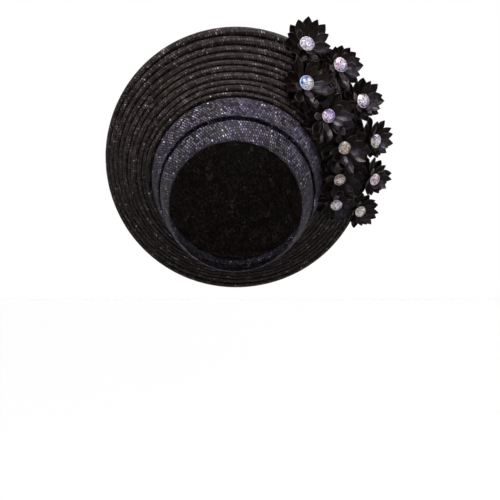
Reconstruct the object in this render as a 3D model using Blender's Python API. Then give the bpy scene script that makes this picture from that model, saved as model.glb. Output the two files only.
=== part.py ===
"""Pleated head wrap: two front bands, a round fan of ten pleats, a crown and ribbon flowers.

Metres, +Z up. The front is at -Y. The origin is the top of the head hollow, where the
crown rests on the head. The tables give millimetres.
"""
import math
from collections import namedtuple

import bmesh
import bpy
from mathutils import Matrix, Vector

MM = 0.001

# A hoop is a tilted oval round the head. top and nape are its highest and lowest points,
# left and right its half widths, and y is its depth, from the front at -Y to the back.
Hoop = namedtuple("Hoop", "top_z nape_z left right top_y nape_y")
FRONT_EDGE = Hoop(-43.6, -173.5, 68.3, 68.4, -74, 62)
SPLIT = Hoop(-20.6, -165.5, 76.4, 79.2, -60, 71)
RING = Hoop(0.0, -158.0, 84.8, 87.6, -30, 76)
RIM = Hoop(71.7, -189.2, 131.5, 133.1, 8, 84)

# Widths of the pleats from the ring out to the rim, over the top and at the sides.
Pleat = namedtuple("Pleat", "top side")
PLEATS = (
    Pleat(4.6, 5.3),
    Pleat(6.7, 3.4),
    Pleat(5.3, 5.3),
    Pleat(7.4, 6.0),
    Pleat(6.6, 3.6),
    Pleat(5.7, 5.0),
    Pleat(7.1, 4.4),
    Pleat(7.3, 4.9),
    Pleat(9.6, 4.2),
    Pleat(9.6, 4.4),
)
STATIONS = 40
PLEAT_HEIGHT = 0.42
PLEAT_CURVE = ((0.0, 0.0), (0.2, 0.72), (0.5, 1.0), (0.8, 0.72))
FAN_WALL = 2.2
FAN_GAP = 0.6

# Bands run over a surface whose share is 0 at the front edge, 1 at the split, 2 at the ring.
BAND_WALL = 2.0
BAND_BULGE = 1.6
PIECE_GAP = 0.35
LOWER_BAND_SHARES = (0.0, 0.25, 0.5, 0.75, 0.93, 1.3)
UPPER_BAND_SHARES = (1.0, 1.2, 1.45, 1.7, 1.94)
TUCK_START = 0.75
TUCK_DEEPEST = 0.93
TUCK_DEPTH = 3.8
HEM_LIFT = 2.0
HEM_END = 1.4

# The crown's inside is an egg round the head, through the origin.
CROWN_CENTRE = Vector((0.0, 8.0, -75.0))
CROWN_HALF_WIDTH = 77.0
CROWN_HALF_LENGTH = 90.0
CROWN_HALF_TOP = 75.3
CROWN_HALF_NAPE = 112.0
CROWN_WALL = 2.0
CROWN_START = 1.8
CROWN_END = 1.98
CROWN_STEPS = (16, 35, 54, 73)

# turn runs clockwise from the top in degrees, across from the ring (0) to the rim (1),
# reach is the petal length, stone the stone's diameter, spin turns the petals, and face
# turns the flower from square on the fan towards the front.
Flower = namedtuple("Flower", "turn across reach stone spin face")
FLOWERS = (
    Flower(30.8, 0.94, 30, 15.4, 4, 4),
    Flower(46.9, 1.02, 26, 15.4, 16, 0),
    Flower(37.1, 0.44, 26, 15.4, 30, 4),
    Flower(64.3, 1.02, 25, 14.4, 8, 2),
    Flower(56.5, 0.36, 24, 13.9, 20, 14),
    Flower(81.7, 1.04, 24, 13.8, 2, -8),
    Flower(76.0, 0.44, 23, 12.8, 36, 20),
    Flower(91.0, 0.30, 22, 12.1, 12, 20),
    Flower(97.8, 1.06, 23, 12.4, 18, -6),
    Flower(105.9, 0.36, 21, 11.6, 6, 18),
    Flower(111.6, 0.97, 21, 11.8, 28, 0),
)
PETALS = 7
PETAL_WALL = 1.1
HUB_RADIUS = 5.2
HUB_TOP = 6.4
NECK_RADIUS = 4.7
NECK_HEIGHT = 4.2
SEAT_RADIUS = 6.2
SEAT_SPREAD = math.radians(2)

# A layer of petals: length as a share of reach, rise in degrees, height of its root, notch
# between petals as a share of its length, room round the stone and the first tip's number.
Layer = namedtuple("Layer", "length rise root notch stone_room first_tip")
OUTER_LAYER = Layer(1.0, 15, 2.2, 0.60, 3.8, 0)
INNER_LAYER = Layer(0.84, 34, 5.2, 0.56, 1.9, 1)
STEEPEST_RISE = 72
RISE_STEP = 4
LENGTH_STEP = 0.92
CUP_OUT = 0.75
CUP_UP = 1.6
PETAL_FOLD = 1.2

# The rings round a layer of petals: share of the way to the tip, and drop in wall thicknesses.
PetalRing = namedtuple("PetalRing", "share drop")
PETAL_RINGS = (
    PetalRing(0.5, 1.0),
    PetalRing(1.0, 0.5),
    PetalRing(1.0, 0.0),
    PetalRing(0.5, 0.0),
)

# Levels of a cut stone, pavilion to table: width and height as shares of its radius.
Level = namedtuple("Level", "width height")
STONE_LEVELS = (
    Level(0.45, 0.0),
    Level(1.0, 0.50),
    Level(1.0, 0.60),
    Level(0.60, 0.95),
)
STONE_SIDES = 10

WRAP_CLOTH = ("wrap_cloth", (0.016, 0.014, 0.017, 1.0), 0.55, 0.0)
BAND_CLOTH = ("band_cloth", (0.020, 0.019, 0.025, 1.0), 0.50, 0.0)
RIBBON_SATIN = ("ribbon_satin", (0.006, 0.006, 0.006, 1.0), 0.30, 0.0)
STONE_GLASS = ("stone_glass", (0.86, 0.84, 0.90, 1.0), 0.05, 0.0)


def material(row):
    name, colour, roughness, metallic = row
    made = bpy.data.materials.get(name) or bpy.data.materials.new(name)
    made.use_nodes = True
    shader = made.node_tree.nodes["Principled BSDF"]
    shader.inputs["Base Color"].default_value = colour
    shader.inputs["Roughness"].default_value = roughness
    shader.inputs["Metallic"].default_value = metallic
    return made


def mix(low, high, share):
    return low + (high - low) * share


def hoop_point(hoop, turn):
    """The point of a hoop at a turn, clockwise from its top."""
    high = (1 + math.cos(turn)) / 2
    half = hoop.right if math.sin(turn) > 0 else hoop.left
    return Vector((
        half * math.sin(turn),
        mix(hoop.nape_y, hoop.top_y, high),
        mix(hoop.nape_z, hoop.top_z, high),
    ))


def fan_point(turn, across):
    return hoop_point(RING, turn).lerp(hoop_point(RIM, turn), across)


def band_point(turn, share):
    if share <= 1:
        return hoop_point(FRONT_EDGE, turn).lerp(hoop_point(SPLIT, turn), share)
    return hoop_point(SPLIT, turn).lerp(hoop_point(RING, turn), share - 1)


def normal_of(point_at, turn, share):
    """The outward normal of a surface, from two short steps along it."""
    step = 0.01
    along = point_at(turn + step, share) - point_at(turn - step, share)
    across = point_at(turn, share + step) - point_at(turn, share - step)
    return along.cross(across).normalized()


def loft(name, look, rings, start=None, end=None):
    """Joins rings of points into one closed mesh: round a loop, or from pole to pole."""
    mesh = bpy.data.meshes.new(name)
    work = bmesh.new()
    made = [[work.verts.new(point * MM) for point in ring] for ring in rings]
    count = len(rings[0])
    pairs = list(zip(made, made[1:]))
    if start is None:
        pairs.append((made[-1], made[0]))
    for first, second in pairs:
        for i in range(count):
            j = (i + 1) % count
            work.faces.new((first[i], first[j], second[j], second[i]))
    if start is not None:
        for pole, ring in ((start, made[0][::-1]), (end, made[-1])):
            tip = work.verts.new(pole * MM)
            for i in range(count):
                work.faces.new((ring[i], ring[(i + 1) % count], tip))
    bmesh.ops.triangulate(work, faces=work.faces)
    if work.calc_volume(signed=True) < 0:
        bmesh.ops.reverse_faces(work, faces=work.faces)
    work.to_mesh(mesh)
    work.free()
    mesh.shade_smooth()
    mesh.set_sharp_from_angle(angle=math.radians(40))
    mesh.materials.append(material(look))
    made_object = bpy.data.objects.new(name, mesh)
    bpy.data.collections["pleated_turban"].objects.link(made_object)
    return made_object


def turns():
    return [2 * math.pi * i / STATIONS for i in range(STATIONS)]


def pleat_shares(turn):
    """The share across the fan at which each pleat starts and ends."""
    side = math.sin(turn) ** 2
    widths = [mix(pleat.top, pleat.side, side) for pleat in PLEATS]
    shares = [0.0]
    for width in widths:
        shares.append(shares[-1] + width / sum(widths))
    return shares


def fan_faces(turn):
    """The points of the fan's front and back faces at a turn, from the ring to the rim."""
    shares = pleat_shares(turn)
    length = (hoop_point(RIM, turn) - hoop_point(RING, turn)).length
    lift = normal_of(band_point, turn, 2.0) * FAN_GAP
    front = []
    back = []
    for start, stop in zip(shares, shares[1:]):
        height = (stop - start) * length * PLEAT_HEIGHT
        for place, rise in PLEAT_CURVE:
            share = mix(start, stop, place)
            normal = normal_of(fan_point, turn, share)
            base = fan_point(turn, share) + lift
            front.append(base + normal * height * rise)
            if rise in (0.0, 1.0):
                back.append(base + normal * (height * rise - FAN_WALL))
    rim = fan_point(turn, 1.0) + lift
    front.append(rim)
    back.append(rim - normal_of(fan_point, turn, 1.0) * FAN_WALL)
    return front, back


def fan_section(turn):
    """The closed cut through all pleats: out along the front face and back behind it."""
    front, back = fan_faces(turn)
    return front + back[::-1]


def band_height(share):
    """How far a band swells above the even surface, most in its middle and at its hem."""
    within = share % 1
    height = BAND_BULGE * 4 * within * (1 - within)
    if 1 <= share < HEM_END:
        height += HEM_LIFT * ((HEM_END - share) / (HEM_END - 1)) ** 2
    return height


def band_section(turn, shares, tucked):
    """The closed cut through a band, the tucked one dropping under its neighbour."""
    outer = []
    inner = []
    for share in shares:
        normal = normal_of(band_point, turn, share)
        height = band_height(share)
        if tucked and share > 1:
            height -= BAND_WALL + PIECE_GAP
        elif tucked and share > TUCK_START:
            height = mix(height, -TUCK_DEPTH, (share - TUCK_START) / (TUCK_DEEPEST - TUCK_START))
        outer.append(band_point(turn, share) + normal * height)
        inner.append(band_point(turn, share) + normal * (height - BAND_WALL))
    return outer + inner[::-1]


def as_rings(sections):
    return [list(ring) for ring in zip(*sections)]


def crown_hit(start, direction):
    """Where a ray from inside the head meets the crown's inside."""
    for half_height in (CROWN_HALF_TOP, CROWN_HALF_NAPE):
        scale = Vector((1 / CROWN_HALF_WIDTH, 1 / CROWN_HALF_LENGTH, 1 / half_height))
        offset = (start - CROWN_CENTRE) * scale
        ray = direction * scale
        half_b = offset.dot(ray)
        root = math.sqrt(half_b ** 2 - ray.length_squared * (offset.length_squared - 1))
        hit = start + direction * ((root - half_b) / ray.length_squared)
        if hit.z >= CROWN_CENTRE.z:
            return hit
    return hit


def crown_section(turn):
    """Inner and outer points from the crown's front edge back towards its pole."""
    inner = []
    outer = []
    for share in (CROWN_START, CROWN_END):
        normal = normal_of(band_point, turn, share)
        point = band_point(turn, share) - normal * (BAND_WALL + PIECE_GAP)
        outer.append(point)
        inner.append(point - normal * CROWN_WALL)
    top = hoop_point(RING, 0)
    nape = hoop_point(RING, math.pi)
    middle = (top + nape) / 2
    up = (top - nape).normalized()
    back = up.cross(Vector((1, 0, 0)))
    for step in CROWN_STEPS:
        angle = math.radians(step)
        spoke = up * math.cos(turn) + Vector((1, 0, 0)) * math.sin(turn)
        direction = spoke * math.cos(angle) + back * math.sin(angle)
        hit = crown_hit(middle, direction)
        inner.append(hit)
        outer.append(hit + direction * CROWN_WALL)
    pole = crown_hit(middle, back)
    return inner, outer, pole, pole + back * CROWN_WALL


def build_crown():
    sections = [crown_section(turn) for turn in turns()]
    inner = as_rings([section[0] for section in sections])
    outer = as_rings([section[1] for section in sections])
    pole_in, pole_out = sections[0][2], sections[0][3]
    loft("crown_cap", WRAP_CLOTH, inner[::-1] + outer, start=pole_in, end=pole_out)


def build_bands():
    lower = [band_section(turn, LOWER_BAND_SHARES, True) for turn in turns()]
    upper = [band_section(turn, UPPER_BAND_SHARES, False) for turn in turns()]
    loft("front_band_lower", BAND_CLOTH, as_rings(lower))
    loft("front_band_upper", BAND_CLOTH, as_rings(upper))


def build_fan():
    loft("pleated_fan", WRAP_CLOTH, as_rings([fan_section(turn) for turn in turns()]))


def flower_frame(flower):
    """A matrix whose Z leaves the fan at the flower's seat, on the pleats' crests."""
    turn = math.radians(flower.turn)
    base = fan_point(turn, flower.across)
    normal = normal_of(fan_point, turn, flower.across)
    normal = Matrix.Rotation(-math.radians(flower.face), 3, "Z") @ normal
    crest = -HUB_RADIUS
    for nearby in (turn - SEAT_SPREAD, turn, turn + SEAT_SPREAD):
        for point in fan_faces(nearby)[0]:
            height = (point - base).dot(normal)
            aside = (point - base - normal * height).length
            if aside < SEAT_RADIUS:
                crest = max(crest, height)
    out = fan_point(turn, flower.across + 0.1) - base
    out = (out - normal * out.dot(normal)).normalized()
    frame = Matrix((out, normal.cross(out), normal)).transposed().to_4x4()
    frame.translation = base + normal * (crest + PIECE_GAP)
    return frame


def around(frame, angle, radius, height):
    """A point beside the axis of a flower."""
    return frame @ Vector((math.cos(angle) * radius, math.sin(angle) * radius, height))


def fan_slope(frame, flower, angle):
    """How steeply the fan rises under a petal of a flower that is turned to the front."""
    square = normal_of(fan_point, math.radians(flower.turn), flower.across)
    square = frame.to_3x3().inverted() @ square
    rise = -(math.cos(angle) * square.x + math.sin(angle) * square.y) / square.z
    return math.atan(max(0.0, rise))


def petal_tip(frame, others, angle, flower, layer):
    """Reach and height of a petal's tip, raised until it stays clear of its neighbours."""
    centre = frame.translation
    nearest = flower.stone / 2 + layer.stone_room
    rise = math.radians(layer.rise) + fan_slope(frame, flower, angle)
    length = flower.reach * layer.length
    while True:
        wide = max(nearest, length * math.cos(rise))
        height = layer.root + length * math.sin(rise)
        tip = around(frame, angle, wide, height)
        past = [(tip - centre).dot((other - centre).normalized())
                - (other - centre).length / 2 + PIECE_GAP for other in others]
        if max(past) < 0 or length < nearest:
            return wide, height
        if rise < math.radians(STEEPEST_RISE):
            rise += math.radians(RISE_STEP)
        else:
            length *= LENGTH_STEP


def petal_rings(frame, others, flower, layer):
    """The rings of a layer of petals, from its underside to its top."""
    count = 2 * PETALS
    rings = [[] for _ in PETAL_RINGS]
    for i in range(count):
        angle = 2 * math.pi * i / count + math.radians(flower.spin)
        tip_wide, tip_height = petal_tip(frame, others, angle, flower, layer)
        is_tip = i % 2 == layer.first_tip
        extent = 1.0 if is_tip else layer.notch
        for ring, place in zip(rings, PETAL_RINGS):
            part = place.share * extent
            wide = mix(HUB_RADIUS, tip_wide, part ** CUP_OUT)
            height = mix(layer.root, tip_height, part ** CUP_UP) - place.drop * PETAL_WALL
            if is_tip:
                height += PETAL_FOLD * place.share
            ring.append(around(frame, angle, wide, height))
    return rings


def round_ring(frame, count, spin, radius, height):
    """A ring of evenly spaced points round the axis of a flower."""
    step = 2 * math.pi / count
    return [around(frame, i * step + math.radians(spin), radius, height) for i in range(count)]


def build_flower(number, flower, frame, others):
    count = 2 * PETALS
    rings = [round_ring(frame, count, flower.spin, HUB_RADIUS, 0)]
    rings += petal_rings(frame, others, flower, OUTER_LAYER)
    rings.append(round_ring(frame, count, flower.spin, NECK_RADIUS, NECK_HEIGHT))
    rings += petal_rings(frame, others, flower, INNER_LAYER)
    rings.append(round_ring(frame, count, flower.spin, HUB_RADIUS, HUB_TOP))
    loft(f"flower_{number:02d}", RIBBON_SATIN, rings,
         start=around(frame, 0, 0, 0), end=around(frame, 0, 0, HUB_TOP))


def build_stone(number, flower, frame):
    base = HUB_TOP + PIECE_GAP
    radius = flower.stone / 2
    rings = []
    for level in STONE_LEVELS:
        height = base + radius * level.height
        rings.append(round_ring(frame, STONE_SIDES, 0, radius * level.width, height))
    table = base + radius * STONE_LEVELS[-1].height
    loft(f"stone_{number:02d}", STONE_GLASS, rings,
         start=around(frame, 0, 0, base), end=around(frame, 0, 0, table))


def build_flowers():
    frames = [flower_frame(flower) for flower in FLOWERS]
    for number, (flower, frame) in enumerate(zip(FLOWERS, frames), start=1):
        others = [other.translation for other in frames if other is not frame]
        build_flower(number, flower, frame, others)
        build_stone(number, flower, frame)


def main():
    for old in list(bpy.data.objects):
        bpy.data.objects.remove(old, do_unlink=True)
    parts = bpy.data.collections.new("pleated_turban")
    bpy.context.scene.collection.children.link(parts)
    build_crown()
    build_bands()
    build_fan()
    build_flowers()


main()
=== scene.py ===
import math
import random

import bpy
import numpy as np
from mathutils import Matrix, Vector


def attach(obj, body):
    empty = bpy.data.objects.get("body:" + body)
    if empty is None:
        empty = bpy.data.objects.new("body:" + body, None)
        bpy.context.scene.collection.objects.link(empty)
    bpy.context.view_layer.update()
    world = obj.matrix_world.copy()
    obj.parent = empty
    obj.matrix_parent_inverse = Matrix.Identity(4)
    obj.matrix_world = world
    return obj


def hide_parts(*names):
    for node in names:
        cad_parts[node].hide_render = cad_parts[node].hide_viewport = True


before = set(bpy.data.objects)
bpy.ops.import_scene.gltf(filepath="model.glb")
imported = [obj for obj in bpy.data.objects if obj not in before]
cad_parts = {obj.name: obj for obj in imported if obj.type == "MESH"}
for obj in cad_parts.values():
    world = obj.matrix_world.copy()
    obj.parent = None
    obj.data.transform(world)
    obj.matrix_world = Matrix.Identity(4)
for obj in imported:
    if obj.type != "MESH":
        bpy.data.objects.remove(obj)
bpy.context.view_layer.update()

mm = 0.001

# Ovals that the cloth runs between, in mm: highest and lowest point, half widths, depth.
hoops = {
    "frontEdge": {"topZ": -43.6, "napeZ": -173.5, "left": 68.3, "right": 68.4, "topY": -74, "napeY": 62},
    "split": {"topZ": -20.6, "napeZ": -165.5, "left": 76.4, "right": 79.2, "topY": -60, "napeY": 71},
    "ring": {"topZ": 0.0, "napeZ": -158.0, "left": 84.8, "right": 87.6, "topY": -30, "napeY": 76},
    "rim": {"topZ": 71.7, "napeZ": -189.2, "left": 131.5, "right": 133.1, "topY": 8, "napeY": 84},
}


def smooth(x, low, high):
    x = np.clip((x - low) / (high - low), 0, 1)
    return x * x * (3 - 2 * x)


def hoopPoints(name, turn):
    hoop = hoops[name]
    high = (1 + np.cos(turn)) / 2
    half = np.where(np.sin(turn) > 0, hoop["right"], hoop["left"])
    y = hoop["napeY"] + (hoop["topY"] - hoop["napeY"]) * high
    z = hoop["napeZ"] + (hoop["topZ"] - hoop["napeZ"]) * high
    return np.stack([half * np.sin(turn), y, z], axis=-1) * mm


def fanSurface(turn, across):
    start, stop = hoopPoints("ring", turn), hoopPoints("rim", turn)
    return start + (stop - start) * across[..., None]


def bandSurface(turn, share):
    # share 0 is the front edge, 1 the split and 2 the ring
    front, split, ring = (hoopPoints(name, turn) for name in ("frontEdge", "split", "ring"))
    first = np.minimum(share, 1)[..., None]
    second = np.maximum(share - 1, 0)[..., None]
    return front + (split - front) * first + (ring - split) * second


def unit(vectors):
    return vectors / np.maximum(np.linalg.norm(vectors, axis=-1, keepdims=True), 1e-9)


def normals(surface, turn, share, step=0.02):
    along = surface(turn + step, share) - surface(turn - step, share)
    across = surface(turn, share + step) - surface(turn, share - step)
    return unit(np.cross(along, across))


ripple = {"slant": 1.3, "phase": 6.3, "height": 1.6}


def wholeRipple(turn, other, seed, most, waves=6):
    # seeded sine waves from about -1 to 1: whole numbers of them all round, so they meet at the nape
    rng, slant = random.Random(seed), ripple["slant"]
    total = np.zeros(np.broadcast(turn, other).shape)
    for _ in range(waves):
        wave = turn * rng.randint(1, most) + other * rng.uniform(-slant, slant)
        total += np.sin(wave + rng.uniform(0, ripple["phase"]))
    return total / waves * ripple["height"]


def aroundTurns(count):
    # starts at the nape, so the seam of the pattern is at the back
    return np.linspace(-math.pi, math.pi, count, endpoint=False)


def ringPoints(count, radius, height, turn=0.0):
    angles = 2 * math.pi * (np.arange(count) + turn) / count
    return [(math.cos(a) * radius, math.sin(a) * radius, height) for a in angles]


def addPiece(mesh, look, replaced):
    mesh.shade_smooth()
    mesh.materials.append(look)
    piece = bpy.data.objects.new(mesh.name, mesh)
    bpy.context.scene.collection.objects.link(piece)
    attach(piece, "root")
    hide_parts(replaced)
    return piece


def meshFromGrid(name, points, weave):
    # points[i, j]: i runs round the wrap and j round the cloth's section, and both close;
    # the weave has one more i than the points, so that its pattern has an end at the nape
    turnsCount, acrossCount = points.shape[:2]
    mesh = bpy.data.meshes.new(name)
    i, j = np.meshgrid(np.arange(turnsCount), np.arange(acrossCount), indexing="ij")
    nextI, nextJ = (i + 1) % turnsCount, (j + 1) % acrossCount
    faces = np.stack([i * acrossCount + j, i * acrossCount + nextJ,
                      nextI * acrossCount + nextJ, nextI * acrossCount + j], axis=-1).reshape(-1, 4)
    mesh.from_pydata(points.reshape(-1, 3).tolist(), [], faces.tolist())
    closed = np.concatenate([weave, weave[:, :1]], axis=1)
    corners = np.stack([closed[i, j], closed[i, j + 1], closed[i + 1, j + 1], closed[i + 1, j]], axis=2)
    layer = mesh.uv_layers.new(name="weave")
    layer.data.foreach_set("uv", corners.reshape(-1).astype(np.float32))
    return mesh


def closedSheet(outer, normal, wall, roundSteps=5):
    # a section round the cloth: outer face, a round edge, inner face and the other round edge
    def edge(at, beside):
        middle = outer[:, at] - normal[:, at] * wall / 2
        away = unit(outer[:, at] - outer[:, beside])
        angles = np.linspace(0, math.pi, roundSteps + 2)[1:-1]
        return [middle + (normal[:, at] * math.cos(a) + away * math.sin(a)) * wall / 2 for a in angles]
    far = np.stack(edge(-1, -2), axis=1)
    near = np.stack(edge(0, 1)[::-1], axis=1)
    inner = outer - normal * wall
    return np.concatenate([outer, far, inner[:, ::-1], near], axis=1)


def weaveOf(points, radius):
    # metres along the cloth and across it, for the weave
    steps = np.linalg.norm(np.diff(points, axis=1), axis=2).mean(axis=0)
    across = np.concatenate([[0], np.cumsum(steps)])
    turn = np.linspace(-math.pi, math.pi, len(points) + 1)[:, None]
    return np.stack(np.broadcast_arrays(turn * radius, across), axis=-1)


def domeWeave(points):
    # as weaveOf, for a cloth that lies over a dome from its middle: metres each way from the pole
    steps = np.linalg.norm(np.diff(points, axis=1), axis=2).mean(axis=0)
    out = np.concatenate([[0], np.cumsum(steps)])
    pole = np.linalg.norm(points - points.mean(axis=0), axis=2).mean(axis=0).argmin()
    out = np.abs(out - out[pole])
    turn = np.linspace(-math.pi, math.pi, len(points) + 1)[:, None]
    return np.stack([out * np.sin(turn), out * np.cos(turn)], axis=-1)


# materials

def newMaterial(name):
    look = bpy.data.materials.new(name)
    look.use_nodes = True
    nodes = look.node_tree.nodes
    return look, nodes, look.node_tree.links, nodes["Principled BSDF"]


def plug(links, socket, value):
    # a number or a colour is set on the socket, another node's output is linked to it
    if isinstance(value, bpy.types.NodeSocket):
        links.new(value, socket)
    else:
        socket.default_value = value


def mathNode(nodes, links, operation, *values, clamp=False):
    node = nodes.new("ShaderNodeMath")
    node.operation = operation
    node.use_clamp = clamp
    for socket, value in zip(node.inputs, values):
        plug(links, socket, value)
    return node.outputs[0]


def mixColour(nodes, links, share, first, second, blend="MIX"):
    node = nodes.new("ShaderNodeMix")
    node.data_type = "RGBA"
    node.blend_type = blend
    for socket, value in zip((node.inputs["Factor"], node.inputs[6], node.inputs[7]), (share, first, second)):
        plug(links, socket, value)
    return node.outputs[2]


def rampNode(nodes, links, value, stops):
    ramp = nodes.new("ShaderNodeValToRGB")
    elements = ramp.color_ramp.elements
    while len(elements) < len(stops):
        elements.new(0.5)
    for element, (place, colour) in zip(elements, stops):
        element.position = place
        element.color = colour
    links.new(value, ramp.inputs["Fac"])
    return ramp.outputs["Color"]


def noiseNode(nodes, links, vector, size, detail=3):
    noise = nodes.new("ShaderNodeTexNoise")
    noise.inputs["Scale"].default_value = 1 / size
    noise.inputs["Detail"].default_value = detail
    links.new(vector, noise.inputs["Vector"])
    return noise.outputs["Fac"]


def bumpNode(nodes, links, height, distance, strength=1.0):
    bump = nodes.new("ShaderNodeBump")
    bump.inputs["Strength"].default_value = strength
    bump.inputs["Distance"].default_value = distance
    links.new(height, bump.inputs["Height"])
    return bump.outputs["Normal"]


def threadTicks(nodes, links, vector, cloth):
    # short raised threads in slanting rows, each with its own tone
    turned = nodes.new("ShaderNodeMapping")
    turned.inputs["Rotation"].default_value = (0, 0, math.radians(cloth["slant"]))
    turned.inputs["Scale"].default_value = (1 / cloth["rowPitch"],) * 3
    links.new(vector, turned.inputs["Vector"])
    ticks = nodes.new("ShaderNodeTexBrick")
    ticks.offset = cloth["stagger"]
    ticks.inputs["Color1"].default_value = (cloth["dullest"],) * 3 + (1,)
    ticks.inputs["Color2"].default_value = (1, 1, 1, 1)
    ticks.inputs["Mortar"].default_value = (0, 0, 0, 1)
    ticks.inputs["Scale"].default_value = 1
    ticks.inputs["Mortar Size"].default_value = cloth["rowGap"]
    ticks.inputs["Mortar Smooth"].default_value = cloth["gapSoftness"]
    ticks.inputs["Brick Width"].default_value = cloth["tickLength"]
    ticks.inputs["Row Height"].default_value = 1.0
    links.new(turned.outputs[0], ticks.inputs["Vector"])
    return ticks.outputs["Color"]


def clothMaterial(name, cloth):
    look, nodes, links, shader = newMaterial(name)
    uv = nodes.new("ShaderNodeUVMap")
    uv.uv_map = "weave"
    tick = threadTicks(nodes, links, uv.outputs[0], cloth)
    patch = noiseNode(nodes, links, uv.outputs[0], cloth["patchSize"])
    hue = noiseNode(nodes, links, uv.outputs[0], cloth["hueSize"], detail=1)
    hue = mathNode(nodes, links, "MULTIPLY_ADD", hue, *cloth["hueContrast"], clamp=True)
    fuzz = noiseNode(nodes, links, uv.outputs[0], cloth["fuzzSize"], detail=2)
    worn = mathNode(nodes, links, "MULTIPLY_ADD", patch, *cloth["wearContrast"], clamp=True)
    thread = mixColour(nodes, links, hue, cloth["thread"], cloth["otherThread"])
    tone = mathNode(nodes, links, "MULTIPLY", mathNode(nodes, links, "POWER", tick, cloth["toneCurve"]), worn)
    glint = mathNode(nodes, links, "MULTIPLY", tick, worn)
    over = cloth["glintOver"]
    glint = mathNode(nodes, links, "MULTIPLY_ADD", glint, 1 / (1 - over), -over / (1 - over), clamp=True)
    colour = mixColour(nodes, links, tone, cloth["ground"], thread)
    colour = mixColour(nodes, links, glint, colour, cloth["glint"])
    links.new(colour, shader.inputs["Base Color"])
    rough = mathNode(nodes, links, "MULTIPLY_ADD", glint, -cloth["glintGloss"], cloth["roughness"])
    links.new(rough, shader.inputs["Roughness"])
    shader.inputs["Sheen Weight"].default_value = cloth["sheen"]
    shader.inputs["Sheen Roughness"].default_value = cloth["sheenRoughness"]
    shader.inputs["Sheen Tint"].default_value = cloth["sheenTint"]
    shader.inputs["Specular IOR Level"].default_value = cloth["specular"]
    height = mathNode(nodes, links, "MULTIPLY_ADD", fuzz, cloth["fuzzRelief"], tick)
    links.new(bumpNode(nodes, links, height, cloth["relief"]), shader.inputs["Normal"])
    return look


# sizes and relief in metres, the slant in degrees, tickLength and rowGap in rows of thread
bandCloth = {
    "slant": 52, "rowPitch": 0.0023, "tickLength": 1.2, "rowGap": 0.25, "gapSoftness": 0.8, "stagger": 0.5,
    "dullest": 0.12, "toneCurve": 1.9, "ground": (0.005, 0.0045, 0.006, 1),
    "thread": (0.205, 0.168, 0.280, 1), "otherThread": (0.185, 0.165, 0.190, 1),
    "hueSize": 0.03, "hueContrast": (4, -1.5), "patchSize": 0.012, "wearContrast": (2.2, -0.4),
    "glintOver": 0.78, "glint": (0.48, 0.46, 0.59, 1), "glintGloss": 0.25, "roughness": 0.50,
    "sheen": 0.02, "sheenTint": (0.8, 0.75, 1.0, 1), "sheenRoughness": 0.35, "specular": 0.12,
    "relief": 0.0006, "fuzzSize": 0.0005, "fuzzRelief": 0.5,
}
fanCloth = dict(
    bandCloth, slant=58, tickLength=1.15, dullest=0.2, ground=(0.005, 0.0034, 0.003, 1),
    thread=(0.116, 0.086, 0.090, 1), otherThread=(0.094, 0.076, 0.072, 1),
    glintOver=0.74, glint=(0.27, 0.24, 0.235, 1), sheen=0.01, sheenTint=(1.0, 0.85, 0.8, 1), specular=0.08,
)
crownCloth = dict(
    fanCloth, thread=(0.095, 0.068, 0.068, 1), otherThread=(0.070, 0.058, 0.054, 1),
    glint=(0.12, 0.105, 0.105, 1),
)


# the fan

# waves: their seed, the most of them all round and, where given, how many are added up
fan = {
    "around": 400, "stepsPerPleat": 12, "pleatHeight": 0.62, "pleatRoundness": 0.8, "lean": 0.14,
    "wall": 2.0 * mm, "lift": 0.6 * mm,
    "topWidths": (4.6, 6.7, 5.3, 7.4, 6.6, 5.7, 7.1, 7.3, 9.6, 9.6),  # mm, from the ring out to the rim
    "sideWidths": (5.3, 3.4, 5.3, 6.0, 3.6, 5.0, 4.4, 4.9, 4.2, 4.4),
    "wander": 0.09, "wanderShift": 2.1, "wanderWaves": (5, 7),
    "swell": 0.12, "swellShift": 3.0, "swellWaves": (11, 9),
    "pucker": 0.16 * mm, "puckerShift": 60, "puckerWaves": (17, 90, 12), "puckerOver": 2 * mm,
    "flat": (0.72, 0.102), "held": "folded", "restsOn": ["band_upper_cloth"],
}


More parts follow.
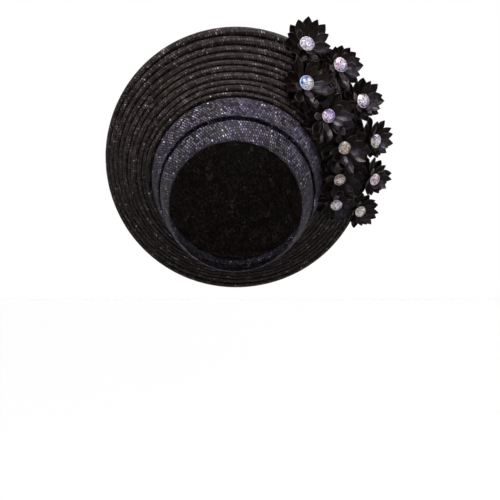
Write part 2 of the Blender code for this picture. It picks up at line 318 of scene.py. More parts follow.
def buildFan():
    turn = aroundTurns(fan["around"])[:, None]
    side = np.sin(turn) ** 2
    widths = np.array(fan["topWidths"]) * (1 - side) + np.array(fan["sideWidths"]) * side
    rows = np.arange(len(fan["topWidths"]))[None, :]
    wander = wholeRipple(turn, rows * fan["wanderShift"], *fan["wanderWaves"])
    widths = widths * (1 + fan["wander"] * wander)
    edges = np.concatenate([np.zeros((len(turn), 1)), np.cumsum(widths, axis=1)], axis=1)
    edges /= edges[:, -1:]
    length = np.linalg.norm(fanSurface(turn, 0 * turn + 1) - fanSurface(turn, 0 * turn), axis=2)
    arc = np.linspace(0, math.pi, fan["stepsPerPleat"] + 1)[:-1]
    shares, heights = [], []
    for pleat in range(len(fan["topWidths"])):
        start, stop = edges[:, pleat:pleat + 1], edges[:, pleat + 1:pleat + 2]
        place = (1 - np.cos(arc)) / 2 - fan["lean"] * np.sin(arc)
        swell = 1 + fan["swell"] * wholeRipple(turn, fan["swellShift"] * pleat, *fan["swellWaves"])
        shares.append(start + (stop - start) * place)
        rounded = np.sin(arc) ** fan["pleatRoundness"]
        heights.append((stop - start) * length * fan["pleatHeight"] * swell * rounded)
    shares.append(edges[:, -1:])
    heights.append(0 * turn)
    share, height = np.concatenate(shares, axis=1), np.concatenate(heights, axis=1)
    pucker = wholeRipple(turn, share * fan["puckerShift"], *fan["puckerWaves"])
    height = height + fan["pucker"] * pucker * smooth(height, 0, fan["puckerOver"])
    grid = turn + 0 * share
    normal = normals(fanSurface, grid, share)
    lift = normals(bandSurface, grid, 2 + 0 * share)[:, :1] * fan["lift"]
    front = fanSurface(grid, share) + normal * height[..., None] + lift
    back = front - normal * fan["wall"]
    points = np.concatenate([front, back[:, ::-1]], axis=1)
    # each pleat has the length of cloth that it needs, and the weave starts anew in the fold
    pleats = len(fan["topWidths"])
    middles = np.repeat(np.linspace(0.5 / pleats, 1 - 0.5 / pleats, pleats), fan["stepsPerPleat"])
    middles = np.concatenate([middles, middles[-1:]])
    loops = fanSurface(turn, middles[None, :] + 0 * turn)
    radii = np.linalg.norm(loops - np.roll(loops, 1, axis=0), axis=2).sum(axis=0) / (2 * math.pi)
    mesh = meshFromGrid("fan_cloth", points, weaveOf(points, np.concatenate([radii, radii[::-1]])))
    piece = addPiece(mesh, clothMaterial("fan_cloth_look", fanCloth), "pleated_fan")
    print("fan built")


# the two front bands

bands = {
    "around": 400, "wall": 2.0 * mm, "bulge": 1.7 * mm, "gap": 0.35 * mm, "radius": 82 * mm,
    "normalStep": 0.06, "hemLift": 2.1 * mm, "hemEnd": 1.30,
    "tuckFrom": 0.80, "tuckTo": 0.94, "tuckDepth": 3.8 * mm, "settle": (0.98, 1.3),
    "folds": 0.35 * mm, "foldShift": 9, "foldWaves": (21, 16), "foldFade": 5,
}
# spans: first and last share, and the number of rows of points from one to the other
lowerBand = {
    "name": "band_lower_cloth", "node": "front_band_lower", "tucked": True,
    "spans": ((0, 0.78, 20), (0.80, 1.0, 12), (1.05, 1.3, 5)),
    "flat": (0.44, 0.040), "held": "stretched", "restsOn": ["band_upper_cloth"],
}
upperBand = {
    "name": "band_upper_cloth", "node": "front_band_upper", "tucked": False,
    "spans": ((1.0, 1.97, 30),),
    "flat": (0.48, 0.030), "held": "stretched", "restsOn": ["band_lower_cloth"],
}


def bandHeight(share):
    within = np.where(share < 1, share, share - 1)
    height = bands["bulge"] * 4 * within * (1 - within)
    hem = np.clip((bands["hemEnd"] - share) / (bands["hemEnd"] - 1), 0, 1) * (share >= 1)
    return height + bands["hemLift"] * hem ** 2


def tuckedHeight(share, height):
    # the lower band dips before the split, and then comes up to lie under the upper band
    drop = smooth(share, bands["tuckFrom"], bands["tuckTo"])
    dipping = height * (1 - drop) - drop * bands["tuckDepth"]
    settle = smooth(share, *bands["settle"])
    under = (height - bands["wall"] - bands["gap"]) * settle - bands["tuckDepth"] * (1 - settle)
    return np.where(share < bands["tuckTo"], dipping, under)


def buildBand(band, look):
    turn = aroundTurns(bands["around"])
    shares = np.concatenate([np.linspace(*span) for span in band["spans"]])
    grid, share = np.meshgrid(turn, shares, indexing="ij")
    normal = normals(bandSurface, grid, share, bands["normalStep"])
    height = bandHeight(share)
    if band["tucked"]:
        height = tuckedHeight(share, height)
    within = np.clip((share - shares[0]) / (shares[-1] - shares[0]), 0, 1)
    fade = np.clip(within * (1 - within) * bands["foldFade"], 0, 1)
    folds = wholeRipple(grid, share * bands["foldShift"], *bands["foldWaves"])
    height = height + bands["folds"] * folds * fade
    outer = bandSurface(grid, share) + normal * height[..., None]
    points = closedSheet(outer, normal, bands["wall"])
    mesh = meshFromGrid(band["name"], points, weaveOf(points, bands["radius"]))
    piece = addPiece(mesh, look, band["node"])


def buildBands():
    look = clothMaterial("band_cloth_look", bandCloth)
    buildBand(lowerBand, look)
    buildBand(upperBand, look)
    print("bands built")


# the crown behind the bands

crown = {
    "around": 240, "centre": (0, 8, -75), "halfWidth": 77.0, "halfLength": 90.0, "halfTop": 75.3,
    "halfNape": 112.0, "wall": 2.0 * mm,
    "first": 10, "last": 89.2, "steps": 36,  # degrees of rise over the plane of the ring
    "start": 1.8, "stop": 1.98, "edgeSteps": 4, "normalStep": 0.03,  # shares of the bands' surface
    "gathers": 1.5 * mm, "gatherShift": 2, "gatherWaves": (31, 40, 12), "gatherFade": (0.05, 0.6),
    "flat": (0.24, 0.19), "held": "gathered", "restsOn": ["band_upper_cloth"],
}


def crownHits(start, direction):
    centre = np.array(crown["centre"]) * mm
    hits = []
    for halfHeight in (crown["halfTop"], crown["halfNape"]):
        scale = 1 / (np.array([crown["halfWidth"], crown["halfLength"], halfHeight]) * mm)
        offset, ray = (start - centre) * scale, direction * scale
        halfB = (ray * offset).sum(axis=-1)
        lengthSquared = (ray ** 2).sum(axis=-1)
        root = np.sqrt(halfB ** 2 - lengthSquared * ((offset ** 2).sum() - 1))
        hits.append(start + direction * ((root - halfB) / lengthSquared)[..., None])
    return np.where(hits[0][..., 2:] >= centre[2], hits[0], hits[1])


def buildCrown():
    turn = aroundTurns(crown["around"])
    top, nape = hoopPoints("ring", np.array(0.0)), hoopPoints("ring", np.array(math.pi))
    middle, up = (top + nape) / 2, unit(top - nape)
    side = np.array([1.0, 0, 0])
    back = np.cross(up, side)
    lift = np.radians(np.linspace(crown["first"], crown["last"], crown["steps"]))
    grid, rise = np.meshgrid(turn, lift, indexing="ij")
    spoke = up * np.cos(grid)[..., None] + side * np.sin(grid)[..., None]
    direction = spoke * np.cos(rise)[..., None] + back * np.sin(rise)[..., None]
    gathers = wholeRipple(grid, rise * crown["gatherShift"], *crown["gatherWaves"])
    gathers = np.minimum(gathers, 0) * smooth(np.cos(rise), *crown["gatherFade"]) * crown["gathers"]
    dome = crownHits(middle, direction) + direction * (crown["wall"] + gathers)[..., None]
    share = np.linspace(crown["start"], crown["stop"], crown["edgeSteps"])
    edgeGrid, share = np.meshgrid(turn, share, indexing="ij")
    edgeNormal = normals(bandSurface, edgeGrid, share, crown["normalStep"])
    edge = bandSurface(edgeGrid, share) - edgeNormal * (bands["wall"] + bands["gap"])
    outer = np.concatenate([edge, dome], axis=1)
    points = closedSheet(outer, np.concatenate([edgeNormal, direction], axis=1), crown["wall"])
    mesh = meshFromGrid("crown_cloth", points, domeWeave(points))
    piece = addPiece(mesh, clothMaterial("crown_cloth_look", crownCloth), "crown_cap")
    print("crown built")


# flowers of folded satin ribbon, each round the stone that the frame holds

# reach is how long the petals look from the front in mm, spin turns them, and the longest ones point
# one way and are longer by the stretch
blooms = (
    {"reach": 23.5, "spin": 44, "longest": 80, "stretch": 0.20},
    {"reach": 23.4, "spin": 41, "longest": -105, "stretch": 0.14},
    {"reach": 25, "spin": 42, "longest": 250, "stretch": 0.04},
    {"reach": 21, "spin": 2, "longest": 90, "stretch": 0.14},
    {"reach": 23, "spin": 20, "longest": 210, "stretch": 0.05},
    {"reach": 19, "spin": 20, "longest": 75, "stretch": 0.20},
    {"reach": 23, "spin": 36, "longest": 190, "stretch": 0.05},
    {"reach": 22, "spin": 12, "longest": 200, "stretch": 0.05},
    {"reach": 18.5, "spin": 31, "longest": 120, "stretch": 0.22},
    {"reach": 18.5, "spin": 6, "longest": 90, "stretch": 0.22},
    {"reach": 17, "spin": 22, "longest": 50, "stretch": 0.20},
)
# one of these numbers is the way, in degrees, that the petals with the most painted sheen point
flower = {
    "knot": ((0.1, 1.0), (4.2, 1.1), (5.0, 2.4), (4.7, 4.6), (3.6, 6.2), (0.1, 6.5)),  # radius, height
    "knotSides": 16, "hub": 3.2, "seat": 6.75, "clear": 3.5, "furthest": 1.3, "paintedSheenTowards": -45,
    "steepest": 40, "riseStep": 3, "shorten": 0.96,
    "overFan": 1.2, "overFanFrom": 56, "overFanShare": 1.03,
}
# root, room and overlap in mm, rise in degrees, turn as a share of the way to the next petal
petalLayers = (
    {"count": 8, "length": 1.0, "rise": 10, "root": 1.8, "bow": 1.5, "width": 0.30, "room": 3.8,
     "turn": 0.0, "overlap": 11},
    {"count": 8, "length": 0.92, "rise": 22, "root": 3.4, "bow": 1.5, "width": 0.265, "room": 2.6,
     "turn": 0.5, "overlap": 7},
    {"count": 5, "length": 0.62, "rise": 35, "root": 6.0, "bow": 0.8, "width": 0.20, "room": 1.6,
     "turn": 0.25, "overlap": 4},
)
# cup, crease and edgeRoll are shares of the half width, curl is a share of the reach; the last row places the
# painted sheen on each petal and sets how strong it is
petal = {
    "along": 13, "across": 9, "wall": 0.45 * mm, "spacing": 0.9, "outward": 0.85,
    "cup": 0.26, "cupCurve": 2.2, "crease": 0.16, "creaseNarrow": 3.5, "edgeRoll": 0.12, "rollFrom": 0.7,
    "curl": 0.08, "curlFrom": 0.6, "curlRise": 6, "curls": (0.2, 1.5),
    "turns": 0.06, "lengths": (0.96, 1.02), "widths": (0.92, 1.08), "leans": 0.06, "twists": 0.25,
    "paintedSheenAt": 0.55, "paintedSheenSpread": 0.28, "paintedSheenFade": 0.7, "paintedSheenCurve": 1.5, "paintedSheens": (0.1, 1),
}
petalOutline = (  # share of the way along, share of the widest
    (0.0, 0.26), (0.2, 0.58), (0.4, 0.86), (0.58, 1.0), (0.70, 0.95), (0.82, 0.70), (0.92, 0.36), (1.0, 0.02),
)


# the satin's colours include a painted lilac sheen and a painted highlight for stretches of the petals' edges
ribbonSatin = {
    "deep": (0.0018, 0.0012, 0.0010, 1), "pale": (0.008, 0.0052, 0.0043, 1),
    "paintedSheen": (0.066, 0.058, 0.084, 1), "paintedSheenContrast": (2.2, -0.4),
    "paintedEdgeHighlight": (0.12, 0.11, 0.11, 1), "paintedEdgeHighlightSize": 0.012, "paintedEdgeHighlightContrast": (5, -2.4), "edgeContrast": (10, -9),
    "wrinkleSize": 0.004, "grainSize": 0.0006, "grainRelief": 0.12, "creases": 34, "creaseRelief": 0.35,
    "relief": 0.0006, "reliefStrength": 0.6, "roughness": 0.20, "wrinkleRoughness": 0.25,
    "anisotropy": 0.5, "specular": 0.11, "specularTint": (1.0, 0.88, 0.84, 1),
}


def satinMaterial():
    satin = ribbonSatin
    look, nodes, links, shader = newMaterial("ribbon_satin_look")
    place = nodes.new("ShaderNodeTexCoord").outputs["Object"]
    wrinkle = noiseNode(nodes, links, place, satin["wrinkleSize"], detail=4)
    grain = noiseNode(nodes, links, place, satin["grainSize"], detail=2)
    uv = nodes.new("ShaderNodeUVMap")
    uv.uv_map = "petal"
    split = nodes.new("ShaderNodeSeparateXYZ")
    links.new(uv.outputs[0], split.inputs[0])
    across, along = split.outputs[0], split.outputs[1]
    # painted highlight: the edges of the petals are lighter in stretches, where light would catch them, and
    # fine creases run out from the root
    aside = mathNode(nodes, links, "ABSOLUTE", mathNode(nodes, links, "MULTIPLY_ADD", across, 2, -1))
    edge = mathNode(nodes, links, "MULTIPLY_ADD", aside, *satin["edgeContrast"], clamp=True)
    highlightedStretches = noiseNode(nodes, links, place, satin["paintedEdgeHighlightSize"], detail=1)
    highlightedStretches = mathNode(nodes, links, "MULTIPLY_ADD", highlightedStretches, *satin["paintedEdgeHighlightContrast"], clamp=True)
    edge = mathNode(nodes, links, "MULTIPLY", edge, highlightedStretches)
    pleat = mathNode(nodes, links, "MULTIPLY_ADD", across, satin["creases"], wrinkle)
    pleat = mathNode(nodes, links, "SINE", pleat)
    root = mathNode(nodes, links, "SUBTRACT", 1, along)
    crease = mathNode(nodes, links, "MULTIPLY", pleat, mathNode(nodes, links, "MULTIPLY", root, root))
    colour = mixColour(nodes, links, wrinkle, satin["deep"], satin["pale"])
    # painted sheen: some petals, most of all those that point one way, get a lilac sheen painted into their
    # colour, broken up by the wrinkles
    paintedSheen = nodes.new("ShaderNodeAttribute")
    paintedSheen.attribute_name = "painted_sheen"
    broken = mathNode(nodes, links, "MULTIPLY_ADD", wrinkle, *satin["paintedSheenContrast"], clamp=True)
    paintedSheen = mathNode(nodes, links, "MULTIPLY", paintedSheen.outputs["Fac"], broken)
    colour = mixColour(nodes, links, paintedSheen, colour, satin["paintedSheen"])
    colour = mixColour(nodes, links, edge, colour, satin["paintedEdgeHighlight"])
    links.new(colour, shader.inputs["Base Color"])
    rough = mathNode(nodes, links, "MULTIPLY_ADD", wrinkle, satin["wrinkleRoughness"], satin["roughness"])
    links.new(rough, shader.inputs["Roughness"])
    shader.inputs["Anisotropic"].default_value = satin["anisotropy"]
    shader.inputs["Specular IOR Level"].default_value = satin["specular"]
    shader.inputs["Specular Tint"].default_value = satin["specularTint"]
    height = mathNode(nodes, links, "MULTIPLY_ADD", grain, satin["grainRelief"], wrinkle)
    height = mathNode(nodes, links, "MULTIPLY_ADD", crease, satin["creaseRelief"], height)
    relief = bumpNode(nodes, links, height, satin["relief"], satin["reliefStrength"])
    links.new(relief, shader.inputs["Normal"])
    return look


def stoneFrame(number):
    # axis and seat of a flower, from the stone that the frame holds
    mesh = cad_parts[f"stone_{number:02d}"].data
    points = np.array([vertex.co[:] for vertex in mesh.vertices])
    centre = points.mean(axis=0)
    axes = np.linalg.eigh(np.cov((points - centre).T))[1]
    axis = axes[:, 0] * (-1 if axes[1, 0] > 0 else 1)
    depth = (points - centre) @ axis
    radius = np.linalg.norm(points - centre - depth[:, None] * axis, axis=1).max()
    base = centre + axis * depth.min()
    out = unit(np.array([1.0, 0, 0]) - axis * axis[0])
    turned = Matrix(np.stack([out, np.cross(axis, out), axis]).tolist()).transposed().to_4x4()
    turned.translation = Vector(base - axis * flower["seat"] * mm)
    base = flower["seat"] * mm
    return {"frame": turned, "radius": radius, "base": base, "middle": base + radius * stone["girdleTop"]}


def overFan(tip):
    # whether a tip lies in front of the fan's right side, up to its rim
    top, nape = hoops["rim"]["topZ"], hoops["rim"]["napeZ"]
    x = tip.x / mm / hoops["rim"]["right"]
    z = (tip.z / mm - (top + nape) / 2) / ((top - nape) / 2)
    return math.hypot(x, z) < flower["overFanShare"] and tip.x > flower["overFanFrom"] * mm


def seenFromFront(seat, angle, reach, height):
    # the way and the length of a petal that shows from the front at this angle and reach
    across = seat["frame"].to_3x3()
    aim = Vector((math.cos(angle), math.sin(angle))) * reach - Vector((across[0][2], across[2][2])) * height
    flat = Matrix(((across[0][0], across[0][1]), (across[2][0], across[2][1]))).inverted() @ aim
    return math.atan2(flat.y, flat.x), min(flat.length, flower["furthest"] * reach)


def petalReach(seat, others, angle, layer, length):
    # how far out and how high the tip goes: it is raised or drawn in where it would run far into the
    # next flowers, and drawn in where it would cover their stones
    centre = seat["frame"].translation
    nearest = seat["radius"] + layer["room"] * mm
    rise = math.radians(layer["rise"])
    aim = seat["frame"] @ Vector((math.cos(angle) * length, math.sin(angle) * length, 0))
    if overFan(aim):
        length *= flower["overFan"]
    while True:
        wide = max(nearest, length * math.cos(rise))
        height = layer["root"] * mm + length * math.sin(rise)
        tip = seat["frame"] @ Vector((math.cos(angle) * wide, math.sin(angle) * wide, height))
        past, covers = False, False
        for other in others:
            away = other["frame"].translation - centre
            past = past or (tip - centre).dot(away.normalized()) > away.length / 2 + layer["overlap"] * mm
            cut = other["frame"] @ Vector((0, 0, other["middle"]))
            clear = other["radius"] + flower["clear"] * mm
            covers = covers or math.hypot(tip.x - cut.x, tip.z - cut.z) < clear
        if not (past or covers) or length < nearest:
            return wide, height
        if past and rise < math.radians(flower["steepest"]):
            rise += math.radians(flower["riseStep"])
        length *= flower["shorten"]


def petalSheet(wide, height, angle, layer, reach, rng):
    # one petal as a grid of points in the flower's own frame
    root, hub = layer["root"] * mm, flower["hub"] * mm
    half = layer["width"] * reach * mm * rng.uniform(*petal["widths"])
    lean = rng.uniform(-petal["leans"], petal["leans"])
    twist = rng.uniform(-petal["twists"], petal["twists"])
    tipLift = petal["curl"] * reach * mm * rng.uniform(*petal["curls"])
    along, widths = zip(*petalOutline)
    points = []
    for a in range(petal["along"]):
        s = (a / (petal["along"] - 1)) ** petal["spacing"]
        out = hub + (wide - hub) * s ** petal["outward"]
        curl = tipLift * max(0, s - petal["curlFrom"]) ** 2 * petal["curlRise"]
        up = root + (height - root) * s ** layer["bow"] + curl
        body = half * float(np.interp(s, along, widths))
        for b in range(petal["across"]):
            t = 2 * b / (petal["across"] - 1) - 1
            crease = petal["crease"] * body * math.exp(-(t * petal["creaseNarrow"]) ** 2)
            cup = petal["cup"] * body * abs(t) ** petal["cupCurve"] - crease
            roll = petal["edgeRoll"] * body * max(0, abs(t) - petal["rollFrom"]) / (1 - petal["rollFrom"])
            sideways = t * body - math.copysign(roll, t)
            swing = angle + lean * s
            points.append(Vector((
                math.cos(swing) * out - math.sin(swing) * sideways,
                math.sin(swing) * out + math.cos(swing) * sideways,
                up + cup + twist * sideways * s,
            )))
    return points


def addPetal(points, vertices, faces, places):
    first, across = len(vertices), petal["across"]
    vertices += points
    for a in range(petal["along"] - 1):
        for b in range(across - 1):
            corner = first + a * across + b
            faces.append((corner, corner + 1, corner + across + 1, corner + across))
            places += [(b, a), (b + 1, a), (b + 1, a + 1), (b, a + 1)]


def addKnot(seat, vertices, faces, places):
    # the petals are gathered into a knot under the stone
    first, sides = len(vertices), flower["knotSides"]
    for radius, height in flower["knot"]:
        ring = ringPoints(sides, radius * mm, height * mm)
        vertices += [seat["frame"] @ Vector(point) for point in ring]
    for row in range(len(flower["knot"]) - 1):
        for i in range(sides):
            here, beside = first + row * sides + i, first + row * sides + (i + 1) % sides
            faces.append((here, beside, beside + sides, here + sides))
            places += [(i % 2, row), (i % 2 + 1, row), (i % 2 + 1, row + 1), (i % 2, row + 1)]


def buildFlower(number, seats, satin):
    rng, paintedSheenRng = random.Random(100 + number), random.Random(number)
    bloom, seat = blooms[number - 1], seats[number - 1]
    others = [other for other in seats if other is not seat]
    vertices, faces, places, paintedSheens = [], [], [], []
    s, t = np.meshgrid(np.linspace(0, 1, petal["along"]), np.linspace(-1, 1, petal["across"]), indexing="ij")
    # where the painted sheen lies on each petal: most part way along and in the middle across
    paintedSheen = np.exp(-((s - petal["paintedSheenAt"]) / petal["paintedSheenSpread"]) ** 2) * (1 - petal["paintedSheenFade"] * t ** 2)
    for layer in petalLayers:
        rise = math.radians(layer["rise"])
        for i in range(layer["count"]):
            angle = 2 * math.pi * (i + layer["turn"]) / layer["count"] + math.radians(bloom["spin"])
            angle += rng.uniform(-petal["turns"], petal["turns"])
            # painted sheen: petals that point the way given in the flower table get more of it, and each some
            # at random
            lit = max(0, math.cos(angle - math.radians(flower["paintedSheenTowards"]))) ** petal["paintedSheenCurve"]
            paintedSheens.append(lit * paintedSheenRng.uniform(*petal["paintedSheens"]) * paintedSheen)
            longer = 1 + bloom["stretch"] * math.cos(angle - math.radians(bloom["longest"]))
            length = bloom["reach"] * longer * layer["length"] * rng.uniform(*petal["lengths"]) * mm
            stoneHeight = layer["root"] * mm + length * math.sin(rise) - seat["middle"]
            angle, length = seenFromFront(seat, angle, length, stoneHeight)
            wide, height = petalReach(seat, others, angle, layer, length / math.cos(rise))
            points = petalSheet(wide, height, angle, layer, bloom["reach"], rng)
            addPetal([seat["frame"] @ point for point in points], vertices, faces, places)
    addKnot(seat, vertices, faces, places)
    paintedSheens.append(np.zeros(len(flower["knot"]) * flower["knotSides"]))
    mesh = bpy.data.meshes.new(f"flower_{number:02d}_ribbon")
    mesh.from_pydata(vertices, [], faces)
    layer = mesh.uv_layers.new(name="petal")
    layer.data.foreach_set("uv", (np.array(places) / (petal["across"] - 1, petal["along"] - 1)).reshape(-1))
    painted_sheen = mesh.attributes.new("painted_sheen", "FLOAT", "POINT")
    painted_sheen.data.foreach_set("value", np.concatenate(paintedSheens, axis=None))
    piece = addPiece(mesh, satin, f"flower_{number:02d}")
    thick = piece.modifiers.new("ribbonThickness", "SOLIDIFY")
    thick.thickness = petal["wall"]
    thick.offset = -1
    finer = piece.modifiers.new("softer", "SUBSURF")
    finer.levels = finer.render_levels = 1


# cut stones: a table, stars, kites, halves and a girdle over a foil-backed pavilion

# widths and heights are shares of the stone's radius
stone = {
    "sides": 10, "table": 0.52, "tableHeight": 0.95, "star": 0.72, "starHeight": 0.83,
    "girdle": 0.985, "girdleTop": 0.60, "girdleFoot": 0.50, "foot": 0.44,
}
stoneGlass = {
    "wedges": 24, "rings": 6, "ringTurn": 0.5, "tintSpread": 0.8, "middleFade": (-2.6, 1.6),
    "flashes": ((0.0, (0.05, 0.04, 0.07, 1)), (0.2, (0.20, 0.19, 0.22, 1)),
                (0.55, (0.46, 0.44, 0.48, 1)), (1, (0.80, 0.79, 0.81, 1))),
    "rimFrom": 0.90, "rimShare": 0.65, "rim": (0.66, 0.63, 0.64, 1),
    "roughness": 0.10, "metallic": 0.15, "specular": 0.6, "coat": 0.25, "coatRoughness": 0.05,
}
stoneFoil = {
    "dark": (0.012, 0.011, 0.012, 1), "light": (0.05, 0.045, 0.05, 1), "tarnishSize": 0.0015,
    "roughness": 0.7, "specular": 0.1,
}
clear, lilac, rose = (0.93, 0.93, 0.97, 1), (0.74, 0.68, 0.90, 1), (0.93, 0.55, 0.72, 1)
sky, violet, lime = (0.12, 0.30, 0.72, 1), (0.46, 0.27, 0.72, 1), (0.84, 0.88, 0.60, 1)
cream, amber, blush = (0.95, 0.88, 0.74, 1), (0.62, 0.40, 0.22, 1), (0.95, 0.80, 0.83, 1)
champagne, orchid, tan = (0.90, 0.78, 0.60, 1), (0.80, 0.60, 0.76, 1), (0.66, 0.55, 0.42, 1)
# the tints of each stone, and the direction in degrees of the side that has the first one
stoneTints = (
    {"side": lilac, "otherSide": clear, "middle": clear, "towards": 60},
    {"side": rose, "otherSide": lilac, "middle": clear, "towards": 130},
    {"side": sky, "otherSide": cream, "middle": clear, "towards": 150},
    {"side": blush, "otherSide": lilac, "middle": clear, "towards": 135},
    {"side": violet, "otherSide": orchid, "middle": lilac, "towards": 35},
    {"side": lilac, "otherSide": lime, "middle": clear, "towards": 80},
    {"side": cream, "otherSide": champagne, "middle": amber, "towards": 135},
    {"side": tan, "otherSide": champagne, "middle": clear, "towards": 90},
    {"side": blush, "otherSide": cream, "middle": rose, "towards": 135},
    {"side": blush, "otherSide": lilac, "middle": clear, "towards": 135},
    {"side": cream, "otherSide": champagne, "middle": clear, "towards": 120},
)


def stoneMaterial(number, tints):
    glass = stoneGlass
    look, nodes, links, shader = newMaterial(f"stone_glass_{number:02d}_look")
    uv = nodes.new("ShaderNodeUVMap")
    uv.uv_map = "cut"
    split = nodes.new("ShaderNodeSeparateXYZ")
    links.new(uv.outputs[0], split.inputs[0])
    x, y = split.outputs[0], split.outputs[1]
    angle = mathNode(nodes, links, "ARCTAN2", y, x)
    squares = [mathNode(nodes, links, "MULTIPLY", value, value) for value in (x, y)]
    out = mathNode(nodes, links, "SQRT", mathNode(nodes, links, "ADD", *squares))
    # painted reflections: the pavilion's facets as they show through the crown, wedges in rings, each with
    # its own painted flash of reflected light over the stone's own tints
    ring = mathNode(nodes, links, "FLOOR", mathNode(nodes, links, "MULTIPLY", out, glass["rings"]))
    shift = mathNode(nodes, links, "MULTIPLY", ring, glass["ringTurn"])
    wedge = mathNode(nodes, links, "MULTIPLY_ADD", angle, glass["wedges"] / (2 * math.pi), shift)
    wedge = mathNode(nodes, links, "FLOOR", wedge)
    cell = nodes.new("ShaderNodeCombineXYZ")
    links.new(wedge, cell.inputs[0])
    links.new(ring, cell.inputs[1])
    cell.inputs[2].default_value = number
    facet = nodes.new("ShaderNodeTexWhiteNoise")
    links.new(cell.outputs[0], facet.inputs["Vector"])
    towards, spread = math.radians(tints["towards"]), glass["tintSpread"]
    side = mathNode(nodes, links, "MULTIPLY_ADD", x, spread * math.cos(towards), 0.5)
    side = mathNode(nodes, links, "MULTIPLY_ADD", y, spread * math.sin(towards), side, clamp=True)
    tint = mixColour(nodes, links, side, tints["otherSide"], tints["side"])
    inner = mathNode(nodes, links, "MULTIPLY_ADD", out, *glass["middleFade"], clamp=True)
    tint = mixColour(nodes, links, inner, tint, tints["middle"])
    flash = rampNode(nodes, links, facet.outputs["Value"], glass["flashes"])
    colour = mixColour(nodes, links, 1.0, tint, flash, "MULTIPLY")
    rim = mathNode(nodes, links, "GREATER_THAN", out, glass["rimFrom"])
    rim = mathNode(nodes, links, "MULTIPLY", rim, glass["rimShare"])
    colour = mixColour(nodes, links, rim, colour, glass["rim"])
    links.new(colour, shader.inputs["Base Color"])
    shader.inputs["Roughness"].default_value = glass["roughness"]
    shader.inputs["Metallic"].default_value = glass["metallic"]
    shader.inputs["Specular IOR Level"].default_value = glass["specular"]
    shader.inputs["Coat Weight"].default_value = glass["coat"]
    shader.inputs["Coat Roughness"].default_value = glass["coatRoughness"]
    return look


def foilMaterial():
    # the dull backs of the stones, which sit in the ribbon
    look, nodes, links, shader = newMaterial("stone_foil_look")
    place = nodes.new("ShaderNodeTexCoord").outputs["Object"]
    tarnish = noiseNode(nodes, links, place, stoneFoil["tarnishSize"])
    colour = mixColour(nodes, links, tarnish, stoneFoil["dark"], stoneFoil["light"])
    links.new(colour, shader.inputs["Base Color"])
    shader.inputs["Roughness"].default_value = stoneFoil["roughness"]
    shader.inputs["Specular IOR Level"].default_value = stoneFoil["specular"]
    return look


def buildStone(number, seat, foil):
    sides = stone["sides"]
    rows = (
        ringPoints(sides, stone["table"], stone["tableHeight"]),
        ringPoints(sides, stone["star"], stone["starHeight"], 0.5),
        ringPoints(2 * sides, stone["girdle"], stone["girdleTop"]),
        ringPoints(2 * sides, stone["girdle"], stone["girdleFoot"]),
        ringPoints(sides, stone["foot"], 0.0),
    )
    starts = np.cumsum([0] + [len(row) for row in rows])
    points = [point for row in rows for point in row]

    def at(row, i):
        return int(starts[row]) + i % len(rows[row])

    backs = [tuple(at(4, i) for i in reversed(range(sides)))]
    faces = [tuple(at(0, i) for i in range(sides))]
    for i in range(sides):
        left, right = 2 * i, 2 * i + 2
        star = (at(0, i), at(1, i), at(0, i + 1))
        kite = (at(0, i), at(1, i - 1), at(2, left), at(1, i))
        halves = [(at(1, i), at(2, left), at(2, left + 1)), (at(1, i), at(2, left + 1), at(2, right))]
        girdle = [(at(2, k), at(3, k), at(3, k + 1), at(2, k + 1)) for k in (left, left + 1)]
        faces += [star, kite] + halves + girdle
        backs.append((at(3, left), at(4, i), at(3, left + 1)))
        backs.append((at(3, left + 1), at(4, i), at(4, i + 1), at(3, right)))
    mesh = bpy.data.meshes.new(f"stone_{number:02d}_cut")
    scaled = [Vector(point) * seat["radius"] + Vector((0, 0, seat["base"])) for point in points]
    mesh.from_pydata([seat["frame"] @ point for point in scaled], [], faces + backs)
    layer = mesh.uv_layers.new(name="cut")
    # the map lies flat across the stone, as it is seen straight on to its table
    seen = [Vector((point[0], point[1])) for point in points]
    for loop in mesh.loops:
        layer.data[loop.index].uv = seen[loop.vertex_index]
    look = stoneMaterial(number, stoneTints[number - 1])
    addPiece(mesh, look, f"stone_{number:02d}")
    mesh.shade_flat()
    mesh.materials.append(foil)
    for face in mesh.polygons[len(faces):]:
        face.material_index = 1


def buildFlowers():
    satin, foil = satinMaterial(), foilMaterial()
    seats = [stoneFrame(number) for number in range(1, len(blooms) + 1)]
    for number in range(1, len(blooms) + 1):
        buildFlower(number, seats, satin)
        buildStone(number, seats[number - 1], foil)
    print("flowers and stones built")


# camera, light and ground

studio = {
    "distance": 2.6, "centreX": 0.0145, "centreZ": -0.151, "fieldWidth": 0.5, "sensor": 36,
    "floorZ": -0.47, "floorHalf": 14.0, "floorTone": 0.40, "floorRoughness": 0.9,
    "horizon": 1.0, "ceiling": 0.06, "bandTop": (0.10, 0.20),
}
suns = (
    {"name": "key_light", "from": (0.0, -0.46, 0.89), "strength": 7.3, "spread": 26},
    {"name": "back_light", "from": (0.35, 0.75, 0.55), "strength": 1.5, "spread": 40},
)
softbox = {"at": (0.0, -1.2, 1.5), "aim": (0, 0, -0.05), "size": 0.6, "power": 7}


def placeLight(data, at, aim):
    light = bpy.data.objects.new(data.name, data)
    light.location = at
    light.rotation_euler = (aim - at).to_track_quat("-Z", "Y").to_euler()
    bpy.context.scene.collection.objects.link(light)


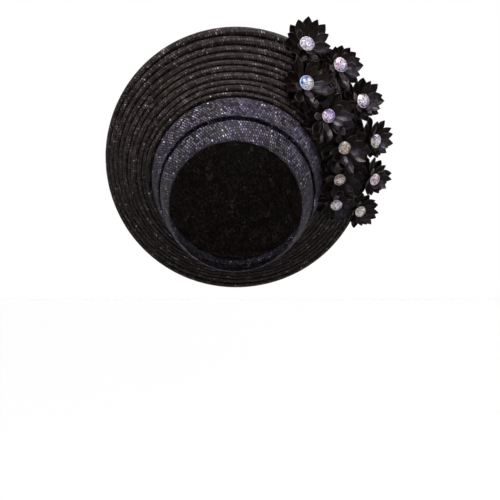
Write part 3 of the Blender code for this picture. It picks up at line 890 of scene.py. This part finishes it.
def buildStudio():
    camera = bpy.data.objects.new("camera", bpy.data.cameras.new("camera"))
    camera.location = (studio["centreX"], -studio["distance"], studio["centreZ"])
    camera.rotation_euler = (math.radians(90), 0, 0)
    camera.data.sensor_width = studio["sensor"]
    camera.data.lens = studio["sensor"] * studio["distance"] / studio["fieldWidth"]
    bpy.context.scene.collection.objects.link(camera)
    bpy.context.scene.camera = camera
    bpy.context.scene.view_settings.view_transform = "Standard"

    half = studio["floorHalf"]
    corners = [(-half, -half), (half, -half), (half, half), (-half, half)]
    mesh = bpy.data.meshes.new("studio_floor")
    mesh.from_pydata([(x, y, studio["floorZ"]) for x, y in corners], [], [(0, 1, 2, 3)])
    look, nodes, links, shader = newMaterial("studio_floor_look")
    shader.inputs["Base Color"].default_value = (studio["floorTone"],) * 3 + (1,)
    shader.inputs["Roughness"].default_value = studio["floorRoughness"]
    mesh.materials.append(look)
    floor = bpy.data.objects.new("studio_floor", mesh)
    bpy.context.scene.collection.objects.link(floor)

    # a pale band all round the horizon under a dim ceiling, which keeps the black cloth deep
    world = bpy.data.worlds.new("studio_world")
    world.use_nodes = True
    nodes, links = world.node_tree.nodes, world.node_tree.links
    split = nodes.new("ShaderNodeSeparateXYZ")
    links.new(nodes.new("ShaderNodeTexCoord").outputs["Generated"], split.inputs[0])
    level = nodes.new("ShaderNodeMapRange")
    level.interpolation_type = "SMOOTHSTEP"
    links.new(split.outputs[2], level.inputs["Value"])
    for name, value in zip(("From Min", "From Max"), studio["bandTop"]):
        level.inputs[name].default_value = value
    level.inputs["To Min"].default_value = studio["horizon"]
    level.inputs["To Max"].default_value = studio["ceiling"]
    links.new(level.outputs[0], nodes["Background"].inputs["Strength"])
    nodes["Background"].inputs["Color"].default_value = (1, 1, 1, 1)
    bpy.context.scene.world = world

    for sun in suns:
        data = bpy.data.lights.new(sun["name"], "SUN")
        data.energy = sun["strength"]
        data.angle = math.radians(sun["spread"])
        placeLight(data, Vector(sun["from"]), Vector((0, 0, 0)))
    data = bpy.data.lights.new("top_softbox", "AREA")
    data.size = softbox["size"]
    data.energy = softbox["power"]
    placeLight(data, Vector(softbox["at"]), Vector(softbox["aim"]))
    print("studio built")


buildStudio()
buildFan()
buildBands()
buildCrown()
buildFlowers()
